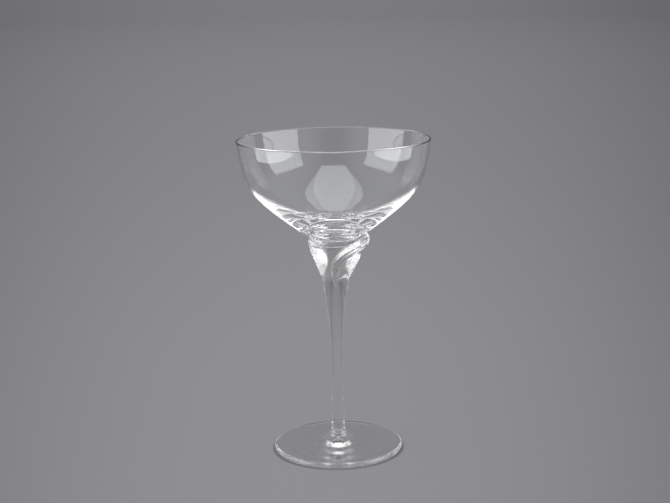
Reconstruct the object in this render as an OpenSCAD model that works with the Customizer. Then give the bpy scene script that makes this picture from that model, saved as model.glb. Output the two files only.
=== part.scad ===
/* [Overall] */
// Height from the table to the lip
overall_height = 166; // [155:1:180]
// Width of the finished lip, outside
rim_width = 100; // [92:1:110]

/* [Bowl] */
// Width of the bowl's flat underside, where it is stuck to the collar
bowl_base_width = 26.4; // [26:0.2:30]
// Height of the bowl's flat underside above the table
bowl_base_height = 114.4; // [112.5:0.1:120]
// Steepness of the bowl's side just above its base, in degrees
bowl_base_angle = 36.9; // [34:0.1:42]
// How far the bowl's side keeps to its lower slope
bowl_low_reach = 37.6; // [30:0.1:42]
// Steepness of the bowl's side at the lip, in degrees
bowl_lip_angle = 83.9; // [78:0.1:88]
// How far the bowl's side keeps to its upper slope
bowl_high_reach = 25.9; // [20:0.1:32]
// Thickness of the wall at the lip
lip_wall = 1.1; // [0.8:0.05:1.6]
// Thickness of solid glass under the deepest point inside
floor_thickness = 4.6; // [4:0.1:6]
// Thickness of the wall at the bowl's base
base_wall = 6.2; // [5:0.1:8]
// How quickly the wall thins above the base, as a power
wall_taper = 4.8; // [4:0.1:7]

/* [Collar] */
// Width of the collar between the bowl and the stem
collar_width = 25; // [24.6:0.1:26]
// Thickness of the collar
collar_thickness = 3; // [2:0.1:4]
// Rounding of the collar's edge
collar_round = 0.7; // [0.3:0.05:0.9]

/* [Stem] */
// Width of the stem's head, under the collar
stem_head_width = 24.2; // [23:0.1:24.5]
// Steepness of the stem's side at its head, in degrees
stem_head_angle = 80.3; // [72:0.1:86]
// How far the stem's side keeps to its slope at the head
stem_head_reach = 8.3; // [5:0.1:12]
// Width of the stem at its waist
stem_waist_width = 5.5; // [4.5:0.1:6.3]
// Height of the waist above the table
stem_waist_height = 36; // [30:1:42]
// How far the stem stays slender above its waist
stem_slender_reach = 56.4; // [48:0.2:60]
// Width of the stem at its lower end, where it is stuck to the foot
stem_end_width = 6.4; // [5.5:0.1:7.5]
// Height of the joint between the stem and the foot
stem_end_height = 22; // [21:0.5:24]

/* [Foot] */
// Width of the foot
foot_width = 68; // [60:1:76]
// Thickness of the foot's rounded edge
foot_edge = 2.9; // [2.2:0.1:3.4]
// Width of the ring that the foot stands on, outside the hollow
foot_ring = 2.4; // [1.5:0.1:4]
// Depth of the hollow under the foot
foot_hollow = 0.4; // [0.2:0.1:1.2]
// Fall of the foot's neck before it spreads
foot_neck_fall = 18; // [15:0.2:18.4]
// Width of the foot's shoulder, where its neck has spread out
foot_shoulder_width = 40; // [38:1:46]
// Height of the shoulder above the foot's edge
foot_shoulder_rise = 1; // [0.4:0.1:1.4]
// Slope of the foot's top at the shoulder, in degrees
foot_shoulder_slope = 4; // [2:0.5:6]
// Reach of the shoulder's slope inwards, under the neck
foot_shoulder_reach = 16.6; // [14:0.2:16.8]

/* [Leaves] */
// Height of the leaves, from their roots to the collar's top
leaf_height = 28; // [26:0.5:30]
// Thickness of a leaf where its swell share is 1
leaf_thickness = 2; // [1.4:0.1:2.4]
// Thickness of a leaf at its edges
leaf_edge = 0.35; // [0.25:0.05:0.6]
// Depth of the veins in the leaves
vein_depth = 0.05; // [0:0.01:0.2]
// Gap between a leaf and the glass that it lies on
leaf_seat_gap = 0.05; // [0.04:0.01:0.1]
// Gap between a leaf's tip and the bowl
leaf_bowl_gap = 0.3; // [0.1:0.05:0.6]

/* [Hidden] */
right_angle = 90;
third_share = 1 / 3;
curve_steps = 30;
floor_steps = 5;
floor_reach_share = 0.45;
lip_steps = 8;
leaf_steps_across = 14;
leaf_steps_along = 24;
leaf_tip_power = 12;
rim_r = rim_width / 2;
bowl_base_r = bowl_base_width / 2;
collar_r = collar_width / 2;
collar_height = bowl_base_height - collar_thickness;
stem_head_r = stem_head_width / 2;
stem_waist_r = stem_waist_width / 2;
stem_end_r = stem_end_width / 2;
foot_r = foot_width / 2;
leaf_root_height = bowl_base_height - leaf_height;

// A direction in the outline plane, given by its steepness in degrees
function heading(steepness) = [cos(steepness), sin(steepness)];

// One point of a cubic curve, at share t of its run
function curve_point(a, b, c, d, t) =
    pow(1 - t, 3) * a + 3 * t * pow(1 - t, 2) * b + 3 * t * t * (1 - t) * c + pow(t, 3) * d;

// Evenly run points of a cubic curve, ends included
function curve(a, b, c, d, steps = curve_steps) =
    [for (i = [0:steps]) curve_point(a, b, c, d, i / steps)];

// Points of an arc, without its first point
function arc(centre, r, from, to, steps = lip_steps) =
    [for (i = [1:steps]) centre + r * heading(from + (to - from) * i / steps)];

// Points of a leaf's edge, or of its swell, from four control points
function leaf_curve(points) = curve(points[0], points[1], points[2], points[3], leaf_steps_along);

function backwards(list) = [for (i = [len(list) - 1:-1:0]) list[i]];

// Outline points as a height-to-radius table
function radius_table(points) = [for (p = points) [p.y, p.x]];

// The bowl's outer side, from its base to the lip
lip_r = lip_wall / 2;
bowl_start = [bowl_base_r, bowl_base_height];
bowl_end = [
    rim_r - lip_r * (1 - sin(bowl_lip_angle)),
    overall_height - lip_r * (1 + cos(bowl_lip_angle))
];
bowl_side = curve(
    bowl_start,
    bowl_start + bowl_low_reach * heading(bowl_base_angle),
    bowl_end - bowl_high_reach * heading(bowl_lip_angle),
    bowl_end
);

// The bowl's inner side, a thinning wall inside the outer one, then a rounded floor
function wall_at(t) = lip_wall + (base_wall - lip_wall) * pow(1 - t, wall_taper);
function run_at(i) = bowl_side[min(curve_steps, i + 1)] - bowl_side[i - 1];
function inward(i) = [-run_at(i).y, run_at(i).x] / norm(run_at(i));
function inside_point(i) = bowl_side[i] + wall_at(i / curve_steps) * inward(i);
inside_side = concat(
    [for (i = [floor_steps:curve_steps - 1]) inside_point(i)],
    [bowl_end + lip_wall * heading(bowl_lip_angle + right_angle)]
);
floor_start = [0, bowl_base_height + floor_thickness];
floor_end = inside_side[0];
floor_run = inside_side[1] - inside_side[0];
floor_side = curve(
    floor_start,
    floor_start + [floor_end.x * floor_reach_share, 0],
    floor_end - floor_end.x * floor_reach_share * floor_run / norm(floor_run),
    floor_end,
    floor_steps * 2
);

// The stem's side, from its waist up to its head
stem_waist = [stem_waist_r, stem_waist_height];
stem_head = [stem_head_r, collar_height];
stem_side = curve(
    stem_waist,
    stem_waist + [0, stem_slender_reach],
    stem_head - stem_head_reach * heading(stem_head_angle),
    stem_head
);

// The stem's side, from its lower end up to the waist
stem_end = [stem_end_r, stem_end_height];
stem_lower_rise = (stem_waist_height - stem_end_height) / 2;
stem_lower_side = curve(
    stem_end,
    stem_end + [0, stem_lower_rise],
    stem_waist - [0, stem_lower_rise],
    stem_waist
);

// What the leaves lie on, as a height-to-radius table: the stem, then the collar
seat_table = concat(
    radius_table([for (p = stem_side) if (p.y < collar_height - collar_round) p]),
    [[collar_height, collar_r], [overall_height, collar_r]]
);

// What keeps a leaf clear of the bowl, as a height-to-radius table
bowl_clear_table = concat(
    [[collar_height, collar_r]],
    [for (p = bowl_side) [p.y - leaf_bowl_gap, p.x + leaf_bowl_gap]]
);
function clear_of_bowl(z) = z < collar_height ? 0 : lookup(z, bowl_clear_table);

function seat_r(z) = lookup(z, seat_table) + leaf_seat_gap;

module bowl() {
    lip_middle = bowl_end + lip_r * heading(bowl_lip_angle + right_angle);
    lip = arc(lip_middle, lip_r, bowl_lip_angle - right_angle, bowl_lip_angle + right_angle);
    inside = concat([for (i = [0:2 * floor_steps - 1]) floor_side[i]], inside_side);
    color("lightcyan", 0.4)
        rotate_extrude()
            polygon(concat(
                [[0, bowl_base_height]],
                bowl_side,
                [for (i = [0:lip_steps - 2]) lip[i]],
                backwards(inside)
            ));
}

module collar() {
    edge_r = collar_r - collar_round;
    low = [edge_r, collar_height + collar_round];
    high = [edge_r, bowl_base_height - collar_round];
    color("powderblue", 0.6)
        rotate_extrude()
            polygon(concat(
                [[0, bowl_base_height], [0, collar_height], [edge_r, collar_height]],
                arc(low, collar_round, -right_angle, 0),
                [high + [collar_round, 0]],
                arc(high, collar_round, 0, right_angle)
            ));
}

module stem() {
    color("lightblue", 0.6)
        rotate_extrude()
            polygon(concat(
                [[0, stem_end_height]],
                stem_lower_side,
                [for (i = [1:curve_steps]) stem_side[i]],
                [[0, collar_height]]
            ));
}

module foot() {
    edge_r = foot_edge / 2;
    edge_centre = [foot_r - edge_r, edge_r];
    top_end = edge_centre + [0, edge_r];
    shoulder = [foot_shoulder_width / 2, foot_edge + foot_shoulder_rise];
    fall = heading(-foot_shoulder_slope);
    disc_reach = (top_end.x - shoulder.x) * third_share;
    neck = curve(
        stem_end,
        stem_end - [0, foot_neck_fall],
        shoulder - foot_shoulder_reach * fall,
        shoulder
    );
    disc = curve(
        shoulder,
        shoulder + disc_reach * fall,
        top_end - [disc_reach, 0],
        top_end
    );
    ring_inside = edge_centre.x - foot_ring;
    hollow = curve(
        [ring_inside, 0],
        [ring_inside * 2 / 3, foot_hollow],
        [ring_inside / 3, foot_hollow],
        [0, foot_hollow]
    );
    color("powderblue", 0.6)
        rotate_extrude()
            polygon(concat(
                [[0, stem_end_height]],
                neck,
                [for (i = [1:curve_steps]) disc[i]],
                arc(edge_centre, edge_r, right_angle, -right_angle),
                hollow
            ));
}

// A leaf wrapped round the seat. Each edge is a curve from the root to the tip, whose points
// are an angle round the glass, from the front towards the right, and a share of leaf_height.
// swell_shares run the same way and are shares of the leaf's greatest thickness.
module leaf(left_edge_shares, right_edge_shares, swell_shares, veins) {
    across = leaf_steps_across;
    along = leaf_steps_along;
    row = across + 1;
    sheet = row * (along + 1);
    left = leaf_curve(left_edge_shares);
    right = leaf_curve(right_edge_shares);
    swell = leaf_curve(swell_shares);
    function spot(i, j) = left[j] + (right[j] - left[j]) * i / across;
    function height(i, j) = leaf_root_height + leaf_height * spot(i, j).y;
    function body(i) = sqrt(sin(180 * i / across));
    function vein(i) = vein_depth * cos(360 * veins * i / across);
    function tip(j) = sqrt(1 - pow(j / along, leaf_tip_power));
    function swollen(i, j) = body(i) * max(0, swell[j]) * tip(j);
    function thick(i, j) = leaf_edge + swollen(i, j) * (leaf_thickness - leaf_edge + vein(i));
    function under_r(i, j) = max(seat_r(height(i, j)), clear_of_bowl(height(i, j)));
    function place(i, j, r) = [
        r * sin(spot(i, j).x),
        -r * cos(spot(i, j).x),
        height(i, j)
    ];
    outer = [for (j = [0:along]) for (i = [0:across]) place(i, j, under_r(i, j) + thick(i, j))];
    inner = [for (j = [0:along]) for (i = [0:across]) place(i, j, under_r(i, j))];
    cells = [for (j = [0:along - 1]) for (i = [0:across - 1]) j * row + i];
    polyhedron(concat(outer, inner), concat(
        [for (c = cells) [c, c + row, c + 1]],
        [for (c = cells) [c + 1, c + row, c + row + 1]],
        [for (c = cells) [c + sheet, c + 1 + sheet, c + row + sheet]],
        [for (c = cells) [c + 1 + sheet, c + row + 1 + sheet, c + row + sheet]],
        [for (j = [0:along - 1]) let (c = j * row) [c, c + sheet, c + row]],
        [for (j = [0:along - 1]) let (c = j * row) [c + row, c + sheet, c + row + sheet]],
        [for (j = [0:along - 1]) let (c = j * row + across) [c, c + row, c + sheet]],
        [for (j = [0:along - 1]) let (c = j * row + across) [c + row, c + row + sheet, c + sheet]],
        [for (c = [0:across - 1]) [c, c + 1, c + sheet]],
        [for (c = [0:across - 1]) [c + 1, c + 1 + sheet, c + sheet]],
        [for (i = [0:across - 1]) let (c = along * row + i) [c, c + sheet, c + 1]],
        [for (i = [0:across - 1]) let (c = along * row + i) [c + 1, c + sheet, c + 1 + sheet]]
    ));
}

module front_leaf() {
    left_edge_shares = [[5, 0.02], [-40, 0.35], [-15, 0.98], [93, 1.07]];
    right_edge_shares = [[15, 0.02], [0, 1.08], [110, 0.62], [104, 0.93]];
    swell_shares = [0.05, 1.2, 2.6, 3.6];
    color("azure", 0.8)
        leaf(left_edge_shares, right_edge_shares, swell_shares, 5);
}

module right_leaf() {
    left_edge_shares = [[80, 0.25], [60, 0.36], [-25, 0.62], [88, 0.7]];
    right_edge_shares = [[96, 0.25], [130, 0.3], [140, 0.58], [94, 0.71]];
    swell_shares = [0.1, 0.4, 1.6, 2];
    color("aliceblue", 0.8)
        leaf(left_edge_shares, right_edge_shares, swell_shares, 4);
}

module left_leaf() {
    left_edge_shares = [[-84, 0.29], [-125, 0.38], [-145, 0.8], [-98, 0.97]];
    right_edge_shares = [[-72, 0.29], [-15, 0.42], [15, 0.95], [-86, 0.98]];
    swell_shares = [0.05, 0.1, 1.9, 0.2];
    color("azure", 0.8)
        leaf(left_edge_shares, right_edge_shares, swell_shares, 4);
}

module back_leaf() {
    left_edge_shares = [[180, 0.2], [150, 0.42], [115, 0.63], [158, 0.96]];
    right_edge_shares = [[190, 0.2], [215, 0.42], [222, 0.75], [170, 0.97]];
    swell_shares = [0.05, 0.6, 2.2, 1.6];
    color("aliceblue", 0.8)
        leaf(left_edge_shares, right_edge_shares, swell_shares, 4);
}

bowl();
collar();
stem();
foot();
front_leaf();
right_leaf();
left_leaf();
back_leaf();
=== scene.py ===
# Stemmed crystal coupe with a leaf-wrapped stem, on a plain grey studio floor
import math
import bmesh
import bpy
import numpy as np
from mathutils import Matrix, Vector
from mathutils.bvhtree import BVHTree


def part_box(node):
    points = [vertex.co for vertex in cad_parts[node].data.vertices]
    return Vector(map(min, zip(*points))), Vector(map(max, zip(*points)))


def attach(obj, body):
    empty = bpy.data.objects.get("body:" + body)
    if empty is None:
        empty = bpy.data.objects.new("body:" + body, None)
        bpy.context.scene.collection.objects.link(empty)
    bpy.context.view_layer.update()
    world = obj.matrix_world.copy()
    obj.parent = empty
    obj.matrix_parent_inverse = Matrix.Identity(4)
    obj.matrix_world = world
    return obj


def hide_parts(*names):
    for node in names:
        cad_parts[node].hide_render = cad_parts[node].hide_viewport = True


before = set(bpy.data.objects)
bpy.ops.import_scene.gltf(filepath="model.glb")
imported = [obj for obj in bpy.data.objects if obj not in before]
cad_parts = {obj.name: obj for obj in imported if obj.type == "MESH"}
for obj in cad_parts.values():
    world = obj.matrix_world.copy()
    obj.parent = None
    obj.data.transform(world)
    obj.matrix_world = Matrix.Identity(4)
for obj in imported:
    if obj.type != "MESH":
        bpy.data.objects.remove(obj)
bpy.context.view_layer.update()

mm = 0.001
scene = bpy.context.scene
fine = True
facetsRound = 256 if fine else 128  # on every turned piece
touching = 0.001 * mm  # nearer than this counts as the same place
mergeWithin = 0.0004 * mm
levelNormal = 0.99  # a face lies level if its normal is steeper than this
meltedSlot = 1  # a piece's second material, for faces that melted into a neighbour


# The height at which a solid starts, from the frame
def bottomOf(node):
    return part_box(node)[0].z


# Outlines, worked out like the solids: points are (radius, height)

def heading(angle):
    return np.array([math.cos(math.radians(angle)), math.sin(math.radians(angle))])


# A curve from the first point to the last, which the two between pull on
def curve(points, steps):
    a, b, c, d = (np.array(p, float) for p in points)
    t = np.linspace(0, 1, steps + 1).reshape(-1, *([1] * a.ndim))
    return (1 - t) ** 3 * a + 3 * t * (1 - t) ** 2 * b + 3 * t * t * (1 - t) * c + t ** 3 * d


# A round stretch, without its first point
def arc(middle, r, start, end, steps):
    return np.array([middle + r * heading(start + (end - start) * i / steps)
                     for i in range(1, steps + 1)])


# Shared modelling steps

def selectOnly(ob):
    bpy.ops.object.select_all(action="DESELECT")
    ob.select_set(True)
    bpy.context.view_layer.objects.active = ob


def startEditing(ob):
    selectOnly(ob)
    bpy.ops.object.mode_set(mode="EDIT")


# A lathed shape, from an open outline that starts and ends on the axis
def spinOutline(name, outline):
    bpy.ops.object.select_all(action="DESELECT")
    bpy.ops.mesh.primitive_circle_add(vertices=len(outline), radius=mm)
    ob = bpy.context.object
    ob.name = ob.data.name = name
    for vert, (r, z) in zip(ob.data.vertices, outline):
        vert.co = (r, 0, z)
    startEditing(ob)
    bpy.ops.mesh.select_all(action="DESELECT")
    bm = bmesh.from_edit_mesh(ob.data)
    for edge in bm.edges:
        edge.select = all(v.co.x < touching for v in edge.verts)
    bm.select_flush_mode()
    bmesh.update_edit_mesh(ob.data)
    bpy.ops.mesh.delete(type="EDGE")
    bpy.ops.mesh.select_all(action="SELECT")
    bpy.ops.mesh.spin(steps=facetsRound, angle=math.tau, center=(0, 0, 0), axis=(0, 0, 1))
    bpy.ops.mesh.select_all(action="SELECT")
    bpy.ops.mesh.remove_doubles(threshold=mergeWithin)
    bpy.ops.mesh.normals_make_consistent(inside=False)
    bpy.ops.object.mode_set(mode="OBJECT")
    return ob


# Where two gathers melted into one there is no surface to see
def dress(ob, material, isMelted):
    ob.data.materials.append(material)
    ob.data.materials.append(fusedJoint)
    for face in ob.data.polygons:
        if isMelted(face):
            face.material_index = meltedSlot


def isLevel(face):
    return abs(face.normal.z) > levelNormal


def finishPiece(ob, node, smoothAngle):
    selectOnly(ob)
    bpy.ops.object.shade_smooth_by_angle(angle=math.radians(smoothAngle))
    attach(ob, "root")
    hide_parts(node)


# Shared steps for materials

def newMaterial(name):
    mat = bpy.data.materials.new(name)
    mat.use_nodes = True
    return mat, mat.node_tree, mat.node_tree.nodes["Principled BSDF"]


def setInputs(node, values):
    for name, value in values.items():
        node.inputs[name].default_value = value


def addNoise(tree, vector, scale, detail):
    node = tree.nodes.new("ShaderNodeTexNoise")
    setInputs(node, {"Scale": scale, "Detail": detail})
    tree.links.new(vector, node.inputs["Vector"])
    return node.outputs["Fac"]


# A math node whose inputs are numbers or other nodes' outputs
def addMath(tree, operation, *values):
    node = tree.nodes.new("ShaderNodeMath")
    node.operation = operation
    for socket, value in zip(node.inputs, values):
        if isinstance(value, (int, float)):
            socket.default_value = value
        else:
            tree.links.new(value, socket)
    return node.outputs[0]


# Goes from low at start to high at end
def addRamp(tree, value, start, end, shape="SMOOTHSTEP", low=0, high=1):
    node = tree.nodes.new("ShaderNodeMapRange")
    node.interpolation_type = shape
    setInputs(node, {"From Min": start, "From Max": end, "To Min": low, "To Max": high})
    tree.links.new(value, node.inputs["Value"])
    return node.outputs["Result"]


# Crystal: slightly wavy, with patches of faint haze

crystalLook = {
    "tint": (0.985, 0.99, 0.99), "ior": 1.53, "detail": 2,
    "waveScale": (90, 90, 220), "waveDepth": 0.006 * mm,
    "hazeScale": 60, "hazeStart": 0.4, "hazeEnd": 0.75, "roughLow": 0, "roughHigh": 0.012,
}


def crystal(name, look):
    mat, tree, bsdf = newMaterial(name)
    setInputs(bsdf, {"Base Color": (*look["tint"], 1), "Transmission Weight": 1, "IOR": look["ior"]})
    coords = tree.nodes.new("ShaderNodeTexCoord")
    place = tree.nodes.new("ShaderNodeMapping")
    setInputs(place, {"Scale": look["waveScale"]})
    tree.links.new(coords.outputs["Object"], place.inputs["Vector"])
    bump = tree.nodes.new("ShaderNodeBump")
    setInputs(bump, {"Strength": 1, "Distance": look["waveDepth"]})
    tree.links.new(addNoise(tree, place.outputs["Vector"], 1, look["detail"]), bump.inputs["Height"])
    tree.links.new(bump.outputs["Normal"], bsdf.inputs["Normal"])
    haze = addNoise(tree, coords.outputs["Object"], look["hazeScale"], look["detail"])
    rough = addRamp(tree, haze, look["hazeStart"], look["hazeEnd"], "LINEAR",
                    look["roughLow"], look["roughHigh"])
    tree.links.new(rough, bsdf.inputs["Roughness"])
    return mat


def clearMaterial(name):
    mat, tree, bsdf = newMaterial(name)
    tree.nodes.remove(bsdf)
    clear = tree.nodes.new("ShaderNodeBsdfTransparent")
    tree.links.new(clear.outputs["BSDF"], tree.nodes["Material Output"].inputs["Surface"])
    return mat


bowlCrystal = crystal("bowlCrystal", crystalLook)
stemCrystal = crystal("stemCrystal", crystalLook | {
    "waveScale": (160, 160, 60), "waveDepth": 0.004 * mm,
})
leafCrystal = crystal("leafCrystal", crystalLook | {
    "waveScale": (260, 260, 140), "waveDepth": 0.002 * mm, "roughLow": 0.22, "roughHigh": 0.32,
})
fusedJoint = clearMaterial("fusedJoint")
print("materials made")

# Bowl

bowl = {
    "rimRadius": 50 * mm, "height": 166 * mm,
    "baseRadius": 13.2 * mm, "baseHeight": bottomOf("bowl"), "baseShares": (0, 0.5, 0.95),
    "baseAngle": 36.9, "lowReach": 37.6 * mm,  # how it leaves the collar
    "lipAngle": 83.9, "highReach": 25.9 * mm,  # how it arrives at the lip
    "lipWall": 1.1 * mm, "baseWall": 6.2 * mm, "wallTaper": 4.8,
    "floorThickness": 4.6 * mm, "floorReachShare": 0.45, "floorShare": 1 / 6,
    "steps": 156 if fine else 60, "lipSteps": 12, "smoothAngle": 40,
}


def bowlOuter():
    lip = bowl["lipWall"] / 2
    tilt = math.radians(bowl["lipAngle"])
    start = np.array([bowl["baseRadius"], bowl["baseHeight"]])
    end = np.array([bowl["rimRadius"] - lip * (1 - math.sin(tilt)),
                    bowl["height"] - lip * (1 + math.cos(tilt))])
    return curve([start, start + bowl["lowReach"] * heading(bowl["baseAngle"]),
                  end - bowl["highReach"] * heading(bowl["lipAngle"]), end], bowl["steps"])


# The wall's thickness is set off inwards, and the lowest part of it gives way to the floor
def bowlInner(outer):
    t = np.linspace(0, 1, len(outer))
    wall = bowl["lipWall"] + (bowl["baseWall"] - bowl["lipWall"]) * (1 - t) ** bowl["wallTaper"]
    run = np.gradient(outer, axis=0)
    run[-1] = heading(bowl["lipAngle"])
    run /= np.linalg.norm(run, axis=1)[:, None]
    side = outer + wall[:, None] * np.stack([-run[:, 1], run[:, 0]], 1)
    first = round(bowl["steps"] * bowl["floorShare"])
    side = side[first:]
    reach = side[0][0] * bowl["floorReachShare"]
    slope = (side[1] - side[0]) / np.linalg.norm(side[1] - side[0])
    low = np.array([0, bowl["baseHeight"] + bowl["floorThickness"]])
    floorRun = curve([low, low + [reach, 0], side[0] - reach * slope, side[0]], first * 2)
    return np.concatenate([floorRun[:-1], side])


def isOnCollar(face):
    low = face.center.z < bowl["baseHeight"] + touching
    return low and math.hypot(face.center.x, face.center.y) < collar["radius"]


def makeBowl():
    outer = bowlOuter()
    lip = bowl["lipWall"] / 2
    tilt = bowl["lipAngle"]
    top = arc(outer[-1] + lip * heading(tilt + 90), lip, tilt - 90, tilt + 90, bowl["lipSteps"])
    base = [[bowl["baseRadius"] * share, bowl["baseHeight"]] for share in bowl["baseShares"]]
    outline = np.concatenate([base, outer, top[:-1], bowlInner(outer)[::-1]])
    ob = spinOutline("bowl_crystal", outline)
    dress(ob, bowlCrystal, isOnCollar)
    finishPiece(ob, "bowl", bowl["smoothAngle"])


# Collar

collar = {
    "radius": 12.5 * mm, "baseHeight": bottomOf("collar"), "round": 0.7 * mm, "roundSteps": 8,
    "sideShares": (0.25, 0.5, 0.75, 1), "smoothAngle": 60,
}


def makeCollar():
    edge = collar["radius"] - collar["round"]
    low = np.array([edge, collar["baseHeight"] + collar["round"]])
    high = np.array([edge, bowl["baseHeight"] - collar["round"]])
    side = [[collar["radius"], low[1] + (high[1] - low[1]) * share] for share in collar["sideShares"]]
    outline = np.concatenate([
        [[0, collar["baseHeight"]], [edge, collar["baseHeight"]]],
        arc(low, collar["round"], -90, 0, collar["roundSteps"]), side,
        arc(high, collar["round"], 0, 90, collar["roundSteps"]),
        [[0, bowl["baseHeight"]]],
    ])
    ob = spinOutline("collar_crystal", outline)
    dress(ob, stemCrystal, isLevel)
    return ob


# Stem

stem = {
    "headRadius": 12.1 * mm, "headAngle": 80.3, "headReach": 8.3 * mm,
    "waistRadius": 2.75 * mm, "waistHeight": 36 * mm, "slenderReach": 56.4 * mm,
    "endRadius": 3.2 * mm, "endHeight": bottomOf("stem"),
    "steps": 260 if fine else 130, "lowerSteps": 30, "smoothAngle": 40,
}


def stemUpper():
    waist = np.array([stem["waistRadius"], stem["waistHeight"]])
    head = np.array([stem["headRadius"], collar["baseHeight"]])
    return curve([waist, waist + [0, stem["slenderReach"]],
                  head - stem["headReach"] * heading(stem["headAngle"]), head], stem["steps"])


def stemLower():
    end = np.array([stem["endRadius"], stem["endHeight"]])
    waist = np.array([stem["waistRadius"], stem["waistHeight"]])
    rise = np.array([0, (waist[1] - end[1]) / 2])
    return curve([end, end + rise, waist - rise, waist], stem["lowerSteps"])


def makeStem():
    outline = np.concatenate([
        [[0, stem["endHeight"]]], stemLower(), stemUpper()[1:], [[0, collar["baseHeight"]]],
    ])
    ob = spinOutline("stem_crystal", outline)
    dress(ob, stemCrystal, isLevel)
    return ob


# Foot

foot = {
    "radius": 34 * mm, "edge": 2.9 * mm, "ring": 2.4 * mm, "hollow": 0.4 * mm,
    "neckFall": 18 * mm, "shoulderRadius": 20 * mm, "shoulderRise": 1 * mm,
    "topReach": 16.6 * mm, "topSlope": 4,
    "neckSteps": 90, "discSteps": 45, "edgeSteps": 24, "underSteps": 45, "smoothAngle": 40,
}


def isUnderStem(face):
    return face.center.z > stem["endHeight"] - touching


def makeFoot():
    half = foot["edge"] / 2
    edge = np.array([foot["radius"] - half, half])
    edgeTop = edge + [0, half]
    neck = np.array([stem["endRadius"], stem["endHeight"]])
    shoulder = np.array([foot["shoulderRadius"], foot["edge"] + foot["shoulderRise"]])
    fall = heading(-foot["topSlope"])
    third = (edgeTop[0] - shoulder[0]) / 3
    neckRun = curve([neck, neck - [0, foot["neckFall"]],
                     shoulder - foot["topReach"] * fall, shoulder], foot["neckSteps"])
    disc = curve([shoulder, shoulder + third * fall, edgeTop - [third, 0], edgeTop], foot["discSteps"])
    ring = edge[0] - foot["ring"]
    hollow = foot["hollow"]
    under = curve([[ring, 0], [ring * 2 / 3, hollow], [ring / 3, hollow], [0, hollow]],
                  foot["underSteps"])
    outline = np.concatenate([
        [[0, stem["endHeight"]]], neckRun, disc[1:],
        arc(edge, half, 90, -90, foot["edgeSteps"]), under,
    ])
    ob = spinOutline("foot_crystal", outline)
    dress(ob, stemCrystal, isUnderStem)
    finishPiece(ob, "foot", foot["smoothAngle"])


# Leaves: an edge point is an angle round the glass and a share of the leaves' height

leaves = {
    "height": 28 * mm, "thickness": 2 * mm, "edge": 0.35 * mm, "veinDepth": 0.05 * mm,
    "tipPower": 12,  # the higher, the later the leaf thins towards its tip
    "seatGap": 0.02 * mm, "bowlGap": 0.3 * mm,
    "seatedWithin": 0.04 * mm, "meltBack": 0.05 * mm, "meltReach": 0.2 * mm,
    "across": 64 if fine else 28, "along": 110 if fine else 48, "smoothAngle": 50,
}
leafShapes = {
    "front_leaf": {
        "left": [[5, 0.02], [-40, 0.35], [-15, 0.98], [93, 1.07]],
        "right": [[15, 0.02], [0, 1.08], [110, 0.62], [104, 0.93]],
        "swell": [0.05, 1.2, 2.6, 3.6], "veins": 5,
    },
    "right_leaf": {
        "left": [[80, 0.25], [60, 0.36], [-25, 0.62], [88, 0.7]],
        "right": [[96, 0.25], [130, 0.3], [140, 0.58], [94, 0.71]],
        "swell": [0.1, 0.4, 1.6, 2], "veins": 4,
    },
    "left_leaf": {
        "left": [[-84, 0.29], [-125, 0.38], [-145, 0.8], [-98, 0.97]],
        "right": [[-72, 0.29], [-15, 0.42], [15, 0.95], [-86, 0.98]],
        "swell": [0.05, 0.1, 1.9, 0.2], "veins": 4,
    },
    "back_leaf": {
        "left": [[180, 0.2], [150, 0.42], [115, 0.63], [158, 0.96]],
        "right": [[190, 0.2], [215, 0.42], [222, 0.75], [170, 0.97]],
        "swell": [0.05, 0.6, 2.2, 1.6], "veins": 4,
    },
}
leafRoots = bowl["baseHeight"] - leaves["height"]


def seatRadius(z):
    side = stemUpper()
    side = side[side[:, 1] < collar["baseHeight"] - collar["round"]]
    heights = np.append(side[:, 1], [collar["baseHeight"], bowl["height"]])
    radii = np.append(side[:, 0], [collar["radius"]] * 2)
    return np.interp(z, heights, radii) + leaves["seatGap"]


def clearOfBowl(z):
    side = bowlOuter()
    heights = np.append(collar["baseHeight"], side[:, 1] - leaves["bowlGap"])
    radii = np.append(collar["radius"], side[:, 0] + leaves["bowlGap"])
    return np.where(z < collar["baseHeight"], 0, np.interp(z, heights, radii))


def roundStem(r, angle, z):
    return np.stack([r * np.sin(angle), -r * np.cos(angle), z], -1)


# The leaf's outer and inner points, and which inner ones lie on the seat
def leafLayers(shape):
    across = np.linspace(0, 1, leaves["across"] + 1)[None, :]
    along = np.linspace(0, 1, leaves["along"] + 1)[:, None]
    left = curve(shape["left"], leaves["along"])[:, None, :]
    right = curve(shape["right"], leaves["along"])[:, None, :]
    spot = left + (right - left) * across[..., None]
    angle = np.radians(spot[..., 0])
    z = leafRoots + leaves["height"] * spot[..., 1]
    swell = np.maximum(0, curve([[s] for s in shape["swell"]], leaves["along"]))
    body = np.sqrt(np.clip(np.sin(math.pi * across), 0, 1))
    vein = leaves["veinDepth"] * np.cos(math.tau * shape["veins"] * across)
    tip = np.sqrt(1 - along ** leaves["tipPower"])
    thick = leaves["edge"] + body * swell * tip * (leaves["thickness"] - leaves["edge"] + vein)
    seat = seatRadius(z)
    under = np.maximum(seat, clearOfBowl(z))
    seated = under - seat < leaves["seatedWithin"]
    return roundStem(under + thick, angle, z), roundStem(under, angle, z), seated


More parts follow.
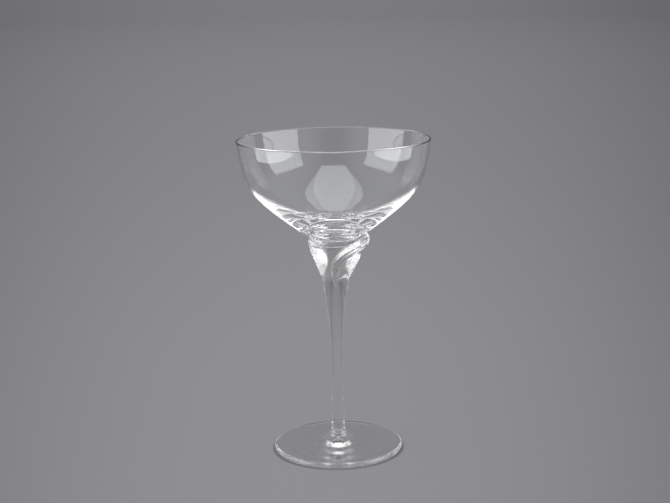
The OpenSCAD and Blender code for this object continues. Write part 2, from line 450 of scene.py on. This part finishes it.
def makeLeaf(name):
    outer, inner, seated = leafLayers(leafShapes[name])
    bpy.ops.object.select_all(action="DESELECT")
    bpy.ops.mesh.primitive_grid_add(x_subdivisions=leaves["across"], y_subdivisions=leaves["along"],
                                    size=mm)
    ob = bpy.context.object
    ob.name = ob.data.name = name + "_crystal"
    startEditing(ob)
    bpy.ops.mesh.select_all(action="SELECT")
    bpy.ops.mesh.extrude_region()
    bpy.ops.object.mode_set(mode="OBJECT")
    points = np.concatenate([inner.reshape(-1, 3), outer.reshape(-1, 3)])
    ob.data.vertices.foreach_set("co", points.ravel())
    ob.data.update()
    onSeat = np.append(seated, np.zeros(seated.size, bool))
    dress(ob, leafCrystal, lambda face: all(onSeat[i] for i in face.vertices))
    startEditing(ob)
    bpy.ops.mesh.select_all(action="SELECT")
    bpy.ops.mesh.normals_make_consistent(inside=False)
    bpy.ops.object.mode_set(mode="OBJECT")
    finishPiece(ob, name, leaves["smoothAngle"])
    return ob


# Faces of the core that a leaf lies on are melted into it
def meltUnder(core, leafObjects):
    faces = [f for f in core.data.polygons if f.center.z > leafRoots and f.material_index != meltedSlot]
    for leaf in leafObjects:
        seats = [list(f.vertices) for f in leaf.data.polygons if f.material_index == meltedSlot]
        tree = BVHTree.FromPolygons([v.co for v in leaf.data.vertices], seats)
        for face in faces:
            out = Vector((face.center.x, face.center.y, 0)).normalized()
            start = face.center - out * leaves["meltBack"]
            if tree.ray_cast(start, out, leaves["meltReach"])[0] is not None:
                face.material_index = meltedSlot


makeBowl()
print("bowl made")
collarPiece = makeCollar()
stemPiece = makeStem()
makeFoot()
print("collar, stem and foot made")
leafPieces = [makeLeaf(name) for name in leafShapes]
meltUnder(stemPiece, leafPieces)
meltUnder(collarPiece, leafPieces)
finishPiece(collarPiece, "collar", collar["smoothAngle"])
finishPiece(stemPiece, "stem", stem["smoothAngle"])
print("leaves made")

# Floor: grey paper that glows softly, with painted shade that darkens it to the sides and far away, and
# a painted contact shadow in a ring round the foot

floor = {
    "radius": 12, "sides": 96, "drop": 0.1 * mm,
    "grey": 0.04, "glow": 0.226, "tint": (1, 1, 1.05), "roughness": 0.9, "specular": 0.1,
    "fanStart": 0.75, "fanLeast": 0.3,  # the painted side shade fans out from that far in front of the glass
    # painted side shade: where its middle lies and how strong it is
    "middle": -0.02, "paintedSideShade": 3.9,
    "wideStart": 0.25, "wideEnd": 0.36,  # and the painted shade lifts again between these widths
    # painted shade far away, and the least lightness it leaves
    "farStart": 0.25, "farEnd": 5.5, "paintedFarShade": 0.21, "paintedShadeLimit": 0.55,
    # painted contact shadow: a dark ring on the paper round the foot's edge
    "shadowRingIn": 1.5 * mm, "shadowRingOut": 1.8 * mm, "paintedShadowDark": 0.5,
}


# How much of the paper's full lightness is left at each place under the painted shade and painted
# contact shadow
def paintedShadeLevel(tree):
    coords = tree.nodes.new("ShaderNodeTexCoord")
    axes = tree.nodes.new("ShaderNodeSeparateXYZ")
    tree.links.new(coords.outputs["Object"], axes.inputs["Vector"])
    x, y = axes.outputs["X"], axes.outputs["Y"]
    # Painted shade: the paper darkens towards the sides
    depth = addMath(tree, "MAXIMUM", addMath(tree, "ADD", y, floor["fanStart"]), floor["fanLeast"])
    across = addMath(tree, "SUBTRACT", addMath(tree, "DIVIDE", x, depth), floor["middle"])
    drop = addMath(tree, "MULTIPLY", addMath(tree, "MULTIPLY", across, across), floor["paintedSideShade"])
    wide = addRamp(tree, addMath(tree, "ABSOLUTE", across), floor["wideStart"], floor["wideEnd"])
    drop = addMath(tree, "MULTIPLY", drop, addMath(tree, "SUBTRACT", 1, wide))
    distance = addMath(tree, "SQRT", addMath(tree, "ADD", addMath(tree, "MULTIPLY", x, x),
                                             addMath(tree, "MULTIPLY", y, y)))
    # Painted shade: the paper darkens far away
    far = addRamp(tree, distance, floor["farStart"], floor["farEnd"], "LINEAR")
    level = addMath(tree, "SUBTRACT", addMath(tree, "SUBTRACT", 1, drop),
                    addMath(tree, "MULTIPLY", far, floor["paintedFarShade"]))
    level = addMath(tree, "MAXIMUM", level, floor["paintedShadeLimit"])
    # Painted contact shadow: a dark ring round the foot's edge
    inside = addRamp(tree, distance, foot["radius"] - floor["shadowRingIn"], foot["radius"])
    outside = addRamp(tree, distance, foot["radius"], foot["radius"] + floor["shadowRingOut"])
    ring = addMath(tree, "MULTIPLY", addMath(tree, "SUBTRACT", inside, outside), floor["paintedShadowDark"])
    return addMath(tree, "MULTIPLY", level, addMath(tree, "SUBTRACT", 1, ring))


def makeFloor():
    bpy.ops.object.select_all(action="DESELECT")
    bpy.ops.mesh.primitive_circle_add(vertices=floor["sides"], radius=floor["radius"],
                                      fill_type="TRIFAN", location=(0, 0, -floor["drop"]))
    ob = bpy.context.object
    ob.name = "studio_floor"
    mat, tree, bsdf = newMaterial("floorPaperPaintedShade")
    setInputs(bsdf, {"Roughness": floor["roughness"], "Specular IOR Level": floor["specular"],
                     "Emission Color": (*floor["tint"], 1)})
    # The painted shade darkens both the paper's colour and its glow
    level = paintedShadeLevel(tree)
    paper = tree.nodes.new("ShaderNodeVectorMath")
    paper.operation = "SCALE"
    paper.inputs[0].default_value = [floor["grey"] * share for share in floor["tint"]]
    tree.links.new(level, paper.inputs["Scale"])
    tree.links.new(paper.outputs["Vector"], bsdf.inputs["Base Color"])
    tree.links.new(addMath(tree, "MULTIPLY", level, floor["glow"]), bsdf.inputs["Emission Strength"])
    ob.data.materials.append(mat)


# Soft light: a panel on each side, from its near edge to its far one, and one overhead

panels = {
    "sideNear": (0.34, -0.315), "sideFar": (0.49, 0.1), "sideLow": 0.013, "sideTop": 0.48,
    "sideLight": 2.25,
    "topPlace": (0, -0.12, 0.9), "topSize": (0.56, 1.46), "topLight": 2.15,
}


def makePanel(name, place, aim, size, radiance):
    bpy.ops.object.light_add(type="AREA", location=place)
    lamp = bpy.context.object
    lamp.name = name
    lamp.data.shape = "RECTANGLE"
    lamp.data.size, lamp.data.size_y = size
    lamp.data.energy = radiance * math.pi * size[0] * size[1]
    lamp.rotation_euler = (Vector(aim) - Vector(place)).to_track_quat("-Z", "Y").to_euler()
    lamp.visible_camera = False


def makePanels():
    near, far = np.array(panels["sideNear"]), np.array(panels["sideFar"])
    middle = (near + far) / 2
    width = np.linalg.norm(far - near)
    inward = np.array([near[1] - far[1], far[0] - near[0]]) / width
    height = panels["sideTop"] - panels["sideLow"]
    for side, word in ((-1, "left"), (1, "right")):
        place = (side * middle[0], middle[1], panels["sideLow"] + height / 2)
        aim = (place[0] + side * inward[0], place[1] + inward[1], place[2])
        makePanel(word + "_panel", place, aim, (width, height), panels["sideLight"])
    top = panels["topPlace"]
    makePanel("top_panel", top, (*top[:2], 0), panels["topSize"], panels["topLight"])


# Backdrop: dim in front, lighter behind where it is low, and lightest to the sides

backdrop = {
    "tint": (1, 1, 1.03), "frontGrey": 0.1,
    "backGrey": 0.23, "backStart": -0.3, "backEnd": 0.4, "highStart": 0.25, "highEnd": 0.6,
    "asideGrey": 0.5, "asideStart": 0.1, "asideEnd": 0.6,
}


def makeBackdrop():
    world = bpy.data.worlds.new("studioWorld")
    scene.world = world
    world.use_nodes = True
    tree = world.node_tree
    coords = tree.nodes.new("ShaderNodeTexCoord")
    axes = tree.nodes.new("ShaderNodeSeparateXYZ")
    tree.links.new(coords.outputs["Generated"], axes.inputs["Vector"])
    behind = addRamp(tree, axes.outputs["Y"], backdrop["backStart"], backdrop["backEnd"])
    high = addRamp(tree, axes.outputs["Z"], backdrop["highStart"], backdrop["highEnd"])
    wall = addMath(tree, "MULTIPLY", behind, addMath(tree, "SUBTRACT", 1, high))
    rise = addMath(tree, "MULTIPLY", wall, backdrop["backGrey"] - backdrop["frontGrey"])
    aside = addRamp(tree, addMath(tree, "ABSOLUTE", axes.outputs["X"]),
                    backdrop["asideStart"], backdrop["asideEnd"])
    aside = addMath(tree, "MULTIPLY", aside, addMath(tree, "SUBTRACT", 1, wall))
    rise = addMath(tree, "ADD", rise, addMath(tree, "MULTIPLY", aside, backdrop["asideGrey"]))
    grey = addMath(tree, "ADD", rise, backdrop["frontGrey"])
    background = tree.nodes["Background"]
    setInputs(background, {"Color": (*backdrop["tint"], 1)})
    tree.links.new(grey, background.inputs["Strength"])


makeFloor()
makePanels()
makeBackdrop()
print("studio made")

# Camera, at the photograph's place

camera = {
    "place": (-0.0001, -0.6985, 0.25667), "pitch": 12.108, "roll": -0.992,
    "lens": 73.72, "sensor": 36, "nearest": 0.01, "farthest": 100,
}
lightPaths = {"glass": 96, "clear": 64}  # a ray crosses many faces of glass before it leaves


def makeCamera():
    bpy.ops.object.camera_add(location=camera["place"])
    cam = bpy.context.object
    cam.data.lens = camera["lens"]
    cam.data.sensor_width = camera["sensor"]
    cam.data.clip_start = camera["nearest"]
    cam.data.clip_end = camera["farthest"]
    turn = (Matrix.Rotation(math.radians(90 - camera["pitch"]), 4, "X")
            @ Matrix.Rotation(math.radians(camera["roll"]), 4, "Z"))
    cam.matrix_world = Matrix.Translation(camera["place"]) @ turn
    return cam


scene.camera = makeCamera()
scene.view_settings.view_transform = "Standard"
scene.cycles.max_bounces = lightPaths["glass"]
scene.cycles.transmission_bounces = lightPaths["glass"]
scene.cycles.glossy_bounces = lightPaths["glass"]
scene.cycles.transparent_max_bounces = lightPaths["clear"]
print("camera placed")
